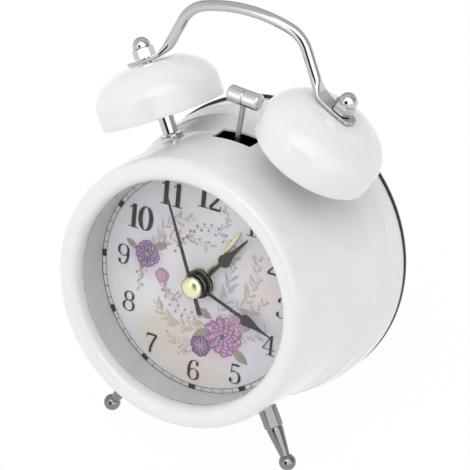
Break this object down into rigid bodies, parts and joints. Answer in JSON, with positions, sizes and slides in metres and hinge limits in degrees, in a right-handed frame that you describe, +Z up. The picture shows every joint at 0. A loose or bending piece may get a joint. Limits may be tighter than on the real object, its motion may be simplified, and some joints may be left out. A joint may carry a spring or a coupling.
{
  "type": "twin-bell alarm clock",
  "caption": "Round analogue alarm clock with domed bells struck by a swinging hammer, a carrying handle, splayed feet, turning hands and a rear battery bay.",
  "frame": {"origin": "centre of the bounding box's bottom face, on the ground the clock stands on", "axes": "+Z up, the dial faces -Y and leans back, +X to the right as seen from the front"},
  "size_m": [0.0898, 0.0726, 0.1273],
  "materials": {
    "battery_wrap": "printed film",
    "black_hand": "satin",
    "black_plastic": "fine grain",
    "brass": "polished",
    "chrome": "polished",
    "clear_lens": "polished",
    "dial_print": "matte print",
    "gold_hand": "satin",
    "grey_plastic": "matte",
    "nickel": "dark nickel",
    "satin_steel": "satin",
    "white_enamel": "gloss",
    "white_plastic": "satin"
  },
  "bodies": {
    "clock_body": {"battery": "battery_wrap", "carrying_handle": "chrome", "case": "white_enamel", "cover_screw_1": "nickel", "cover_screw_2": "nickel", "cover_screw_3": "nickel", "dial": "dial_print", "dial_frame": "black_plastic", "dial_ring": "grey_plastic", "hammer_drive": "black_plastic", "hammer_motor": "nickel", "hammer_pivot": "nickel", "left_bell": "white_enamel", "left_bell_post": "chrome", "left_cap_nut": "chrome", "left_foot": "nickel", "left_foot_nut": "nickel", "left_post_nut": "nickel", "left_post_washer": "chrome", "lens": "clear_lens", "movement": "black_plastic", "negative_contact": "nickel", "positive_contact": "nickel", "rear_cover": "black_plastic", "right_bell": "white_enamel", "right_bell_post": "chrome", "right_cap_nut": "chrome", "right_foot": "nickel", "right_foot_nut": "nickel", "right_post_nut": "nickel", "right_post_washer": "chrome"},
    "second_hand_set": {"second_hand": "black_hand", "hand_cap": "brass", "second_arbor": "satin_steel"},
    "minute_hand_set": {"minute_hand": "black_hand", "minute_pipe": "brass"},
    "hour_hand_set": {"hour_hand": "black_hand", "hour_pipe": "brass"},
    "alarm_hand_set": {"alarm_hand": "gold_hand", "alarm_pipe": "brass"},
    "hammer": {"hammer_arm": "satin_steel", "hammer_head": "satin_steel"},
    "time_setting_knob": {"time_knob": "black_plastic"},
    "alarm_setting_knob": {"alarm_knob": "black_plastic"},
    "alarm_slide_switch": {"alarm_switch": "white_plastic"},
    "battery_door": {"battery_door": "black_plastic"}
  },
  "joints": [
    {"name": "second_hand_turn", "type": "hinge", "parent": "clock_body", "child": "second_hand_set", "pos_m": [0, -0.02548, 0.05487], "axis": [0, 0.9772, -0.2125], "continuous": true},
    {"name": "minute_hand_turn", "type": "hinge", "parent": "clock_body", "child": "minute_hand_set", "pos_m": [0, -0.02548, 0.05487], "axis": [0, 0.9772, -0.2125], "continuous": true},
    {"name": "hour_hand_turn", "type": "hinge", "parent": "clock_body", "child": "hour_hand_set", "pos_m": [0, -0.02548, 0.05487], "axis": [0, 0.9772, -0.2125], "continuous": true},
    {"name": "time_knob_turn", "type": "hinge", "parent": "clock_body", "child": "time_setting_knob", "pos_m": [-0.014, -0.02378, 0.06268], "axis": [0, 0.9772, -0.2125], "continuous": true},
    {"name": "alarm_knob_turn", "type": "hinge", "parent": "clock_body", "child": "alarm_setting_knob", "pos_m": [0.014, -0.02378, 0.06268], "axis": [0, 0.9772, -0.2125], "continuous": true},
    {"name": "alarm_hand_turn", "type": "hinge", "parent": "clock_body", "child": "alarm_hand_set", "pos_m": [0, -0.02548, 0.05487], "axis": [0, 0.9772, -0.2125], "continuous": true},
    {"name": "hammer_swing", "type": "hinge", "parent": "clock_body", "child": "hammer", "pos_m": [-0.0011, 0.00355, 0.0726], "axis": [0, 0.9772, -0.2125], "range_deg": [-8.72, 3.48]},
    {"name": "alarm_switch_slide", "type": "slide", "parent": "clock_body", "child": "alarm_slide_switch", "axis": [1, 0, 0], "range_m": [0, 0.004]},
    {"name": "battery_door_swing", "type": "hinge", "parent": "clock_body", "child": "battery_door", "pos_m": [0, 0.02068, 0.01771], "axis": [-1, 0, 0], "range_deg": [0, 90]}
  ],
  "couplings": [
    {"joint": "minute_hand_turn", "follows": "second_hand_turn", "ratio": 0.016667},
    {"joint": "hour_hand_turn", "follows": "second_hand_turn", "ratio": 0.0013889},
    {"joint": "time_knob_turn", "follows": "second_hand_turn", "ratio": -0.016667},
    {"joint": "alarm_hand_turn", "follows": "alarm_knob_turn", "ratio": -1}
  ]
}
